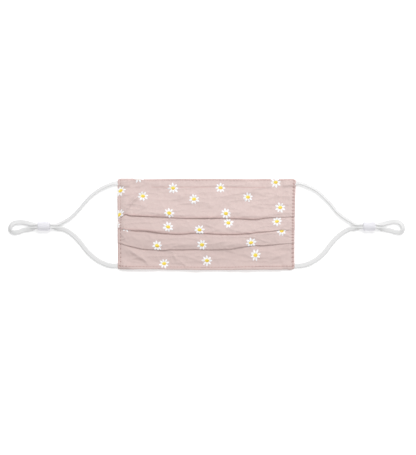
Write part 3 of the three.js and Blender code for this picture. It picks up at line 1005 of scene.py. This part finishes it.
def underRun(fold):
    # where along the cloth the next panel comes out from under this fold
    after = np.where(course[:, 3] >= fold + 1)[0]
    shown = after[course[after, 0] < outerTurn(fold) - layerPitch / 2]
    return float(courseRun[shown[0]])


def bandShare(place, centre, width, weight):
    # a soft band along one line of the cloth
    away = (place - centre) / width
    return place.maths("EXPONENT", away * away * -1.0) * weight


def strongest(shares):
    most = shares[0]
    for share in shares[1:]:
        most = most.most(share)
    return most


cottonLook = {
    "tone": (0.62, 0.49, 0.46),
    "settings": {"Roughness": 0.9, "Sheen Weight": 0.3, "Sheen Roughness": 0.4},
    "slubStretch": (0.35, 3.2, 1),
    "uprightStretch": (3.2, 0.35, 1),
    "threadContrast": 1.1,
    "threadLess": -0.6,
    "threadDark": (0.665, 0.532, 0.502),
    "threadLight": (0.785, 0.658, 0.622),
    "patchScale": 0.09,
    "patchTint": (0.60, 0.47, 0.46),
    "patchShare": 0.35,
    "blotchScale": 0.42,
    "blotchContrast": 2.2,
    "blotchLess": -0.6,
    "blotchTint": (0.62, 0.45, 0.44),
    "blotchShare": 0.3,
    "shadeDown": 0.011,  # painted shade: the cloth is a little darker towards its lower left, away from the key light
    "shadeAlong": -0.0045,
    "shadeLess": -0.62,
    "lowShadeTint": (0.60, 0.47, 0.445),
    "lowShadeShare": 0.42,
    "foldShadeStrengths": (1.0, 1.0, 0.25),
    "foldShadeFade": -0.03,  # the painted shade along the folds fades to the right
    "foldShadeFadeFrom": 2.4,
    "lipShadeBand": (1.5, 0.25),  # width and weight of a line of painted shade
    "underShadowBand": (1.1, 0.3),
    "channelShadeBand": (0.5, 0.3),
    # the one tint of all painted shade lines: fold lips, shadows under the folds, seam grooves, edges
    # and the wire channel
    "paintedShadeTint": (0.52, 0.27, 0.25),
    # widths of the painted shade along each seam groove and along each edge
    "grooveWidth": 0.5,
    "rimWidth": 0.9,
    "weaveShare": 0.06,
    "weaveTint": (0.50, 0.36, 0.34),
    # painted shade in the needle holes
    "holeShadeTint": (0.30, 0.17, 0.16),
    "holeShadeShare": 0.75,
    "holeNarrow": 1.7,
    "weaveBump": 0.35,
    "holeBump": 3.0,
    "bump": 0.00009,
    "bumpStrength": 0.8,
    "backTackEnd": -79.5,  # the lower seam was sewn twice up to here, so that its needle holes carry more painted shade
}


def seamMarks(along, down):
    # the needle holes along the topstitching, and painted shade along the seam grooves and the edges
    # beside them
    look, pitch = cottonLook, cloth["seamPitch"]
    lowWeight = (along < look["backTackEnd"]) * 0.5 + 0.35
    leftWeight = (down > cloth["foldDrop"]) * 0.6 + 0.4
    # for each edge: the distance from it, the seam's inset, the place along the seam,
    # how narrow its holes are, and the weights of the painted shade in the holes, the groove and along
    # the edge
    edges = (
        (along + halfLength, cloth["seamLeft"], down, 1.0, leftWeight, 0.16, 0.4),
        (halfLength - along, cloth["seamRight"], down, 0.42, 0.8, 0.42, 0.4),
        (down, cloth["seamTop"], along, 1.0, 0.12, 0.2, 0.35),
        (float(totalRun) - down, cloth["seamLow"], along, 1.0, lowWeight, 0.34, 0.12),
    )
    holes, seams = [], []
    for away, inset, beside, narrow, weight, line, rim in edges:
        across = (away - inset) * narrow
        place = (beside.maths("FRACT", beside / pitch) - 0.5) * pitch
        squared = across * across + place * place
        # painted shade in each needle hole
        holes.append((1.0 - squared * look["holeNarrow"]).most(0.0) * weight)
        # painted shade along the seam groove and along the edge
        seams.append(bandShare(away, inset, look["grooveWidth"], line))
        seams.append(bandShare(away, 0.0, look["rimWidth"], rim))
    return strongest(holes), strongest(seams)


def foldShade(along, down):
    # painted shade: darker lines on the lip of each fold, and a painted shadow where the next panel
    # comes out from under it
    look = cottonLook
    fade = (along * look["foldShadeFade"] + look["foldShadeFadeFrom"]).clamped()
    shadeLines = []
    for fold, strength in enumerate(look["foldShadeStrengths"]):
        for place, band in ((lipRun(fold), "lipShadeBand"), (underRun(fold), "underShadowBand")):
            width, weight = look[band]
            shadeLines.append(bandShare(down, place, width, weight * strength) * fade)
    return strongest(shadeLines)


# painted shade along the stitched line under the wire channel
def channelShade(along, down):
    width, weight = cottonLook["channelShadeBand"]
    beside = along.maths("ABSOLUTE", along - wire["lineMiddle"])
    return bandShare(down, wire["line"], width, weight) * (beside < wire["lineReach"])


def cottonMaterial():
    look = cottonLook
    material, tree, shader = newMaterial("rosePlainWeave", look)
    place, along, down = clothPlaces(tree)
    pace = 2 * math.pi / cloth["threadPitch"]
    weave = along.wave(pace) * down.wave(pace)
    slubs = stretchedNoise(place, look["slubStretch"], 1.0, 3)
    uprights = stretchedNoise(place, look["uprightStretch"], 1.0, 3)
    contrast = look["threadContrast"]
    threads = slubs * contrast + (uprights * contrast + look["threadLess"])
    patches = noiseOn(place, look["patchScale"], 3)
    blotches = noiseOn(place, look["blotchScale"], 2) * look["blotchContrast"] + look["blotchLess"]
    # painted shade, darker towards the lower left
    low = (down * look["shadeDown"] + (along * look["shadeAlong"] + look["shadeLess"])).clamped()
    holes, seams = seamMarks(along, down)
    # painted shade lines: folds, seam grooves and edges, and the wire channel
    shadeLines = strongest([foldShade(along, down), seams, channelShade(along, down)])

    base = mixColor(tree, threads, look["threadDark"], look["threadLight"])
    base = mixColor(tree, patches, base, mixColor(tree, look["patchShare"], base, look["patchTint"]))
    for share, tint in (
        (blotches * look["blotchShare"], "blotchTint"),
        (low * look["lowShadeShare"], "lowShadeTint"),
        (shadeLines, "paintedShadeTint"),
        (weave * look["weaveShare"] + look["weaveShare"], "weaveTint"),
        (holes * look["holeShadeShare"], "holeShadeTint"),
    ):
        base = mixColor(tree, share, base, look[tint])
    feed(shader.inputs["Base Color"], base)
    height = weave * look["weaveBump"] + threads - holes * look["holeBump"]
    addBump(shader, height, look)
    return material


print("cloth panel: three knife pleats, hems and soft folds")
panel = foldedCloth(cottonMaterial())

# Topstitching, in millimetres: short raised stitches all round, between the needle holes
stitching = {
    "length": 2.5,
    "wide": 0.42,
    "high": 0.26,
    "rings": 5,
    "around": 8,
    "arch": 0.16,
    "sunk": 0.05,
    "eachWay": 25,  # stitches on either side of the middle
    "hiddenBelow": 1.2,
    "edge": 0.05,
    "uvScale": 4,
}
threadLook = {
    "tone": (0.66, 0.52, 0.49),
    "settings": {"Roughness": 0.6, "Sheen Weight": 0.2},
    # the painted shade between the plies, then the thread's own colour
    "dark": (0.50, 0.36, 0.34),
    "light": (0.66, 0.52, 0.49),
    "twist": 14,
    "bump": 0.00004,
    "bumpStrength": 0.7,
}


def stitchRows():
    # the middle of each stitch, and whether it runs up and down the mask
    rows = []
    pitch = cloth["seamPitch"]
    for step in np.arange(1, totalRun / pitch - 1):
        rows.append((cloth["seamLeft"] - halfLength, step * pitch, True))
        rows.append((halfLength - cloth["seamRight"], step * pitch, True))
    for step in np.arange(-stitching["eachWay"], stitching["eachWay"] + 1):
        rows.append((step * pitch, cloth["seamTop"], False))
        rows.append((step * pitch, totalRun - cloth["seamLow"], False))
    return rows


def shownRun(run):
    # whether this place along the folded cloth lies on top, where it can be seen
    panelOf = np.interp(run, courseRun, course[:, 3])
    y = np.interp(run, courseRun, course[:, 0])
    number = int(panelOf + 0.01)
    if abs(panelOf - number) > 0.3:
        return False
    return number == 0 or y < outerTurn(number - 1) - stitching["hiddenBelow"]


def stitchMesh(material):
    vertices, faces, uvs = [], [], []
    rings, around, edge = stitching["rings"], stitching["around"], stitching["edge"]
    t = np.linspace(-1, 1, rings)
    angle = np.linspace(0, 2 * np.pi, around, endpoint=False)
    along = np.repeat(t * stitching["length"] / 2, around)
    fat = np.repeat(np.sqrt(np.clip(1.04 - t * t, 0.05, 1)), around)
    side = np.tile(np.cos(angle), rings) * fat * stitching["wide"] / 2
    rise = np.tile(np.sin(angle), rings) * fat * stitching["high"] / 2
    rise = rise + stitching["arch"] * (1 - np.repeat(t * t, around)) - stitching["sunk"]
    for x, run, upright in stitchRows():
        if not shownRun(run):
            continue
        px, pr = (x + side, run + along) if upright else (x + along, run + side)
        pr = np.clip(pr, edge, totalRun - edge)
        faces.extend(tubeFaces(len(vertices), rings, around))
        vertices.extend(drapedPoints(px, pr, halfThick + faceRelief(px, pr) + rise) * mm)
        uvs.extend(np.column_stack([along, side * stitching["uvScale"]]))
    return outwards(meshFrom("topstitching", vertices, faces, material, uvs))


def threadMaterial():
    material, tree, shader = newMaterial("roseThread", threadLook)
    along, across = clothPlaces(tree)[1:]
    ply = (along + across).wave(threadLook["twist"])
    # painted shade: darker between the twisted plies, where the bump sinks
    tintAndBump(shader, ply * 0.5 + 0.5, ply, threadLook)
    return material


print("topstitching round the hem")
topstitching = stitchMesh(threadMaterial())

# Scattered daisies, in millimetres, embroidered in satin stitch
daisy = {
    "seed": 7,
    "petals": 8,
    "inner": 1.2,
    "outer": 5.5,
    "wide": 1.16,
    "high": 0.3,
    "threadHigh": 0.035,
    "sunk": 0.06,
    "under": -0.08,
    "lengthSteps": 14,
    "widthSteps": 8,
    "petalUv": (3.6, 1.2),
    "sizes": (0.97, 1.04),
    "turns": (-4, 4),
    "reaches": (0.9, 1.06),
    "girths": (0.92, 1.08),
    "heart": (2.2, 1.7),
    "heartHigh": 0.62,
    "heartSunk": 0.05,
    "heartRings": 7,
    "heartAround": 22,
    "knotHigh": 0.05,
    "fromEdge": 0.12,
    "joined": 0.000004,  # points closer than this, in metres, become one
}
# each daisy: place in millimetres, the panel it lies on and its turn in degrees
daisyRows = [
    (-86, 34, 0, 8), (-63.5, 28.5, 0, 12), (-33.5, 36.5, 0, 4), (-12.5, 25.5, 0, 18),
    (14, 37, 0, 0), (41.5, 27.5, 0, 15), (69, 42.5, 0, 9), (74, 17, 0, 20),
    (-37.5, 11.5, 0, 2), (19.5, 11, 0, 13), (-88, 9.5, 0, 6), (-38.5, -2.5, 1, 16),
    (-7, -5.5, 1, 7), (22, 1.5, 1, 21), (71, 3, 1, 3), (76, -6.5, 2, 11),
    (-49.5, -21.5, 2, 10), (-4.5, -20.5, 2, 19), (45, -18.5, 2, 5), (-42.5, -39.5, 3, 14),
    (0.5, -36.5, 3, 1), (49.5, -31, 3, 17), (-68, 47.5, 0, 22), (-80.5, -2.5, 2, 12),
    (-91.5, -0.5, 1, 9),
]


def runFor(x, y, number):
    # the place along the folded cloth, on one panel, that lies at this height up the mask
    pick = np.where(np.abs(course[:, 3] - number) < 0.01)[0]
    pick = pick[courseNormal[pick, 1] > 0.3]
    runs = courseRun[pick]
    py = clothPoint(np.full(len(runs), x), runs, halfThick)[1]
    order = np.argsort(py)
    run = float(np.interp(y, py[order], runs[order]))
    if y > py.max():
        run = runs[order][-1] - (y - py.max())
    scale = (py[order][-1] - py[order][0]) / max(runs[order][0] - runs[order][-1], cloth["samePoint"])
    return run, abs(scale)


def placeOnCloth(x, run, height):
    edge = daisy["fromEdge"]
    x = np.clip(x, -halfLength + edge, halfLength - edge)
    run = np.clip(run, edge, totalRun - edge)
    return drapedPoints(x, run, halfThick + faceRelief(x, run) + height) * mm


def gridFaces(start, rows, columns, flip):
    faces = []
    for i in range(rows - 1):
        for j in range(columns - 1):
            a, b = start + i * columns + j, start + (i + 1) * columns + j
            faces.append((a, a + 1, b + 1, b) if flip else (a, b, b + 1, a + 1))
    return faces


def gridRim(rows, columns):
    # the points round the outside of a grid, in order
    rim = list(range(columns)) + [i * columns + columns - 1 for i in range(1, rows)]
    rim += [(rows - 1) * columns + j for j in range(columns - 2, -1, -1)]
    return rim + [i * columns for i in range(rows - 2, 0, -1)]


def addPetal(petals, x, run, scale, angle, reach, girth):
    # a satin leaf, a little raised along its middle, closed by a flat face under it
    long, wide = daisy["lengthSteps"], daisy["widthSteps"]
    t, s = gridOf(np.linspace(0, 1, long), np.linspace(-1, 1, wide))
    radius = daisy["inner"] + (reach - daisy["inner"]) * t
    belly = np.maximum(np.sin(np.pi * t**1.05) ** 0.72, 0.5 * (1 - t) ** 2)
    side = s * girth * belly
    arch = np.sqrt(1 - s**2) * (0.35 + 0.65 * np.sin(np.pi * (t * 0.94 + 0.03)))
    threads = daisy["threadHigh"] * np.cos(s * np.pi * 4) * (np.abs(s) < 0.95)
    top = daisy["high"] * arch + threads - daisy["sunk"]
    dx = radius * math.cos(angle) - side * math.sin(angle)
    dy = radius * math.sin(angle) + side * math.cos(angle)
    first = len(petals["points"])
    second = first + long * wide
    for start, heights, flip in ((first, top, False), (second, np.full_like(top, daisy["under"]), True)):
        petals["points"].extend(placeOnCloth(x + dx, run - dy / scale, heights))
        petals["uvs"].extend(np.column_stack([t, s]) * daisy["petalUv"])
        petals["faces"].extend(gridFaces(start, long, wide, flip))
    rim = gridRim(long, wide)
    for p, q in zip(rim, rim[1:] + rim[:1]):
        petals["faces"].append((first + q, first + p, second + p, second + q))


def addHeart(hearts, x, run, scale):
    # a low dome of knots
    rings, around = daisy["heartRings"], daisy["heartAround"]
    first = len(hearts["points"])
    share, angle = gridOf(np.linspace(0, 1, rings), np.linspace(0, 2 * np.pi, around, endpoint=False))
    hx = daisy["heart"][0] * np.sin(share * np.pi / 2) * np.cos(angle)
    hy = daisy["heart"][1] * np.sin(share * np.pi / 2) * np.sin(angle)
    knots = daisy["knotHigh"] * np.sin(7 * angle + 5 * share)
    height = daisy["heartHigh"] * np.cos(share * np.pi / 2) - daisy["heartSunk"] + knots
    hearts["points"].extend(placeOnCloth(x + hx, run - hy / scale, height))
    hearts["uvs"].extend(np.column_stack([hx, hy]))
    for i in range(rings - 1):
        low, high = first + i * around, first + (i + 1) * around
        for j in range(around):
            k = (j + 1) % around
            hearts["faces"].append((low + j, high + j, high + k, low + k))
    last = first + (rings - 1) * around
    hearts["faces"].append([last + j for j in range(around)][::-1])


def daisyMeshes(petalMaterial, heartMaterial):
    random.seed(daisy["seed"])
    petals = {"points": [], "uvs": [], "faces": []}
    hearts = {"points": [], "uvs": [], "faces": []}
    for x, y, number, turn in daisyRows:
        run, scale = runFor(x, y, number)
        size = random.uniform(*daisy["sizes"])
        for k in range(daisy["petals"]):
            angle = math.radians(turn + 360 * k / daisy["petals"] + random.uniform(*daisy["turns"]))
            reach = daisy["outer"] * size * random.uniform(*daisy["reaches"])
            girth = daisy["wide"] * random.uniform(*daisy["girths"])
            addPetal(petals, x, run, scale, angle, reach, girth)
        addHeart(hearts, x, run, scale)
    made = []
    for name, parts, material in (
        ("daisyPetals", petals, petalMaterial),
        ("daisyHearts", hearts, heartMaterial),
    ):
        shape = meshFrom(name, parts["points"], parts["faces"], material, parts["uvs"])
        made.append(outwards(shape, daisy["joined"]))
    return made


satin = {
    "tone": (0.88, 0.88, 0.9),
    "settings": {"Roughness": 0.45, "Sheen Weight": 0.3},
    "threadPace": 26.0,
    "threadShadeShare": 0.3,
    "dark": (0.86, 0.875, 0.91),
    "light": (0.98, 0.98, 0.98),
    "bump": 0.00005,
    "bumpStrength": 0.45,
}
knotted = {
    "tone": (0.85, 0.58, 0.06),
    "settings": {"Roughness": 0.6, "Sheen Weight": 0.2},
    "alongShade": 0.12,
    "acrossShade": 0.22,
    "knotScale": 2.6,
    "knotShare": 0.7,
    "shadeFrom": 0.05,
    "dark": (0.92, 0.81, 0.13),  # the yellow where the share is 0, then the orange of the painted shade
    "light": (0.82, 0.48, 0.02),
    "bump": 0.00025,
    "bumpStrength": 0.8,
}


def petalMaterial():
    material, tree, shader = newMaterial("whiteSatinStitch", satin)
    place, _, across = clothPlaces(tree)
    thread = across.wave(satin["threadPace"])
    # painted shade: darker and bluish in the valleys between the satin threads, where the bump sinks;
    # the noise varies the white at random
    tintAndBump(shader, thread * satin["threadShadeShare"] + noiseOn(place, 3.0, 2), thread, satin)
    return material


def heartMaterial():
    material, tree, shader = newMaterial("yellowKnots", knotted)
    place, along, across = clothPlaces(tree)
    knots = noiseOn(place, knotted["knotScale"], 2)
    # painted shade: the heart turns orange towards its lower right, away from the light; the knots vary
    # it at random
    shadeSlope = along * knotted["alongShade"] - across * knotted["acrossShade"]
    share = shadeSlope + (knots * knotted["knotShare"] + knotted["shadeFrom"])
    tintAndBump(shader, share, knots, knotted)
    return material


print("daisies: satin petals and knotted hearts")
petals, hearts = daisyMeshes(petalMaterial(), heartMaterial())

# Cord stops, in metres: soft moulded barrels with one bore
stopSize = {
    "length": 0.0123,
    "wide": 0.0092,
    "tall": 0.0076,
    "boreWide": 0.0053,
    "boreTall": 0.0051,
    "boreSquareness": 4,  # 2 is an ellipse, higher is nearer a box
    "taperLong": 0.0024,
    "taperIn": 0.18,  # share of the half width lost at each end
    "taperSteps": 7,
    "mouthRound": 0.0001,
    "mouthInset": 0.0001,
    "mouthSteps": 3,
    "place": (0.1638, -0.00167),
    "sides": 56,
    "smoothUnder": 40,
    "near": 0.00001,
    "onMouth": 1.001,  # a share of the bore's size that takes in only its rim
}
stopLook = {
    "tone": (0.78, 0.78, 0.83),
    "settings": {
        "Roughness": 0.55,
        "Subsurface Weight": 0.5,
        "Subsurface Radius": (1, 1, 1),
        "Subsurface Scale": 0.005,
        "Specular IOR Level": 0.3,
    },
    "cloudScale": 260,
    "grainScale": 2600,
    "cloudShare": 1.5,
    "dark": (0.815, 0.80, 0.865),
    "light": (0.875, 0.86, 0.92),
    "bump": 0.00005,
    "bumpStrength": 0.4,
}


def stopMaterial():
    material, tree, shader = newMaterial("milkySilicone", stopLook)
    place = Share(tree, tree.nodes.new("ShaderNodeTexCoord").outputs["Object"])
    cloud = noiseOn(place, stopLook["cloudScale"], 4)
    grain = noiseOn(place, stopLook["grainScale"], 3)
    tintAndBump(shader, cloud, cloud * stopLook["cloudShare"] + grain, stopLook)
    return material


def cordStop(name, side, material):
    centre = Vector((side * stopSize["place"][0], stopSize["place"][1], stopSize["tall"] / 2))
    half = stopSize["length"] / 2
    power = stopSize["boreSquareness"]

    def boreShare(point):
        # how far out a point lies, where 1 is on the wall of the bore
        across = abs(point.y - centre.y) / (stopSize["boreWide"] / 2)
        up = abs(point.z - centre.z) / (stopSize["boreTall"] / 2)
        return (across**power + up**power) ** (1 / power)

    def atEnd(point, end, within):
        return abs(point.x - end) < stopSize["near"] and boreShare(point) < within

    def selectNone(kind):
        bpy.ops.mesh.select_mode(type=kind)
        bpy.ops.mesh.select_all(action="DESELECT")
        return bmesh.from_edit_mesh(made.data)

    def selectEnds(kind, within=math.inf):
        # picks the edges or faces in the plane of either end that lie within this share of the bore
        work = selectNone(kind)
        for part in work.edges if kind == "EDGE" else work.faces:
            for end in (centre.x - half, centre.x + half):
                if all(atEnd(v.co, end, within) for v in part.verts):
                    part.select_set(True)
        bmesh.update_edit_mesh(made.data)

    def roundEnd(direction):
        # draws one end face out in steps along a quarter of an ellipse
        work = selectNone("FACE")
        outermost = max(work.faces, key=lambda face: direction * face.calc_center_median().x)
        outermost.select_set(True)
        bmesh.update_edit_mesh(made.data)
        step = math.pi / 2 / stopSize["taperSteps"]
        for turn in np.linspace(0, math.pi / 2, stopSize["taperSteps"] + 1)[1:]:
            before = turn - step
            move = direction * stopSize["taperLong"] * (math.sin(turn) - math.sin(before))
            bpy.ops.mesh.extrude_region_move(TRANSFORM_OT_translate={"value": (move, 0, 0)})
            spans = [1 - stopSize["taperIn"] * (1 - math.cos(t)) for t in (before, turn)]
            bpy.ops.transform.resize(value=(1, spans[1] / spans[0], spans[1] / spans[0]))

    deselectAll()
    bpy.ops.mesh.primitive_cylinder_add(
        vertices=stopSize["sides"],
        radius=0.5,
        depth=stopSize["length"] - 2 * stopSize["taperLong"],
        location=centre,
        rotation=(0, math.pi / 2, 0),
        end_fill_type="NGON",
    )
    made = bpy.context.object
    made.name = name
    made.scale = (stopSize["tall"], stopSize["wide"], 1)
    bpy.ops.object.transform_apply(location=True, rotation=True, scale=True)
    bpy.ops.object.mode_set(mode="EDIT")
    for direction in (-1, 1):
        roundEnd(direction)
    # the bore: an inset ring on each end, moved to the bore's outline, and a bridge between them
    selectEnds("FACE")
    bpy.ops.mesh.inset(thickness=stopSize["mouthInset"], use_individual=True)
    work = bmesh.from_edit_mesh(made.data)
    for face in [f for f in work.faces if f.select]:
        for v in face.verts:
            spread = boreShare(v.co)
            v.co.y = centre.y + (v.co.y - centre.y) / spread
            v.co.z = centre.z + (v.co.z - centre.z) / spread
    bmesh.update_edit_mesh(made.data)
    bpy.ops.mesh.bridge_edge_loops()
    selectEnds("EDGE", stopSize["onMouth"])
    bpy.ops.mesh.bevel(
        offset=stopSize["mouthRound"],
        offset_type="OFFSET",
        segments=stopSize["mouthSteps"],
        affect="EDGES",
    )
    bpy.ops.mesh.select_mode(type="VERT")
    bpy.ops.object.mode_set(mode="OBJECT")
    bpy.ops.object.shade_smooth_by_angle(angle=math.radians(stopSize["smoothUnder"]))
    made.data.materials.append(material)
    return outwards(made)


print("cord stops")
silicone = stopMaterial()
leftStop = cordStop("barrelStopLeft", -1, silicone)
rightStop = cordStop("barrelStopRight", 1, silicone)

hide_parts("pleated_panel")
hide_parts("ear_loop_left")
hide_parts("ear_loop_right")
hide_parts("cord_stop_left")
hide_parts("cord_stop_right")
for made, finish in (
    (panel, "cotton"),
    (topstitching, "cotton"),
    (petals, "cotton"),
    (hearts, "cotton"),
    (leftLoop, "elastic"),
    (rightLoop, "elastic"),
    (leftStop, "silicone"),
    (rightStop, "silicone"),
):
    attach(made, "root")
for loop, line, length, stop, side in (
    (leftLoop, leftLine, leftLength, leftStop, -1),
    (rightLoop, rightLine, rightLength, rightStop, 1),
):
    side * halfLength * mm
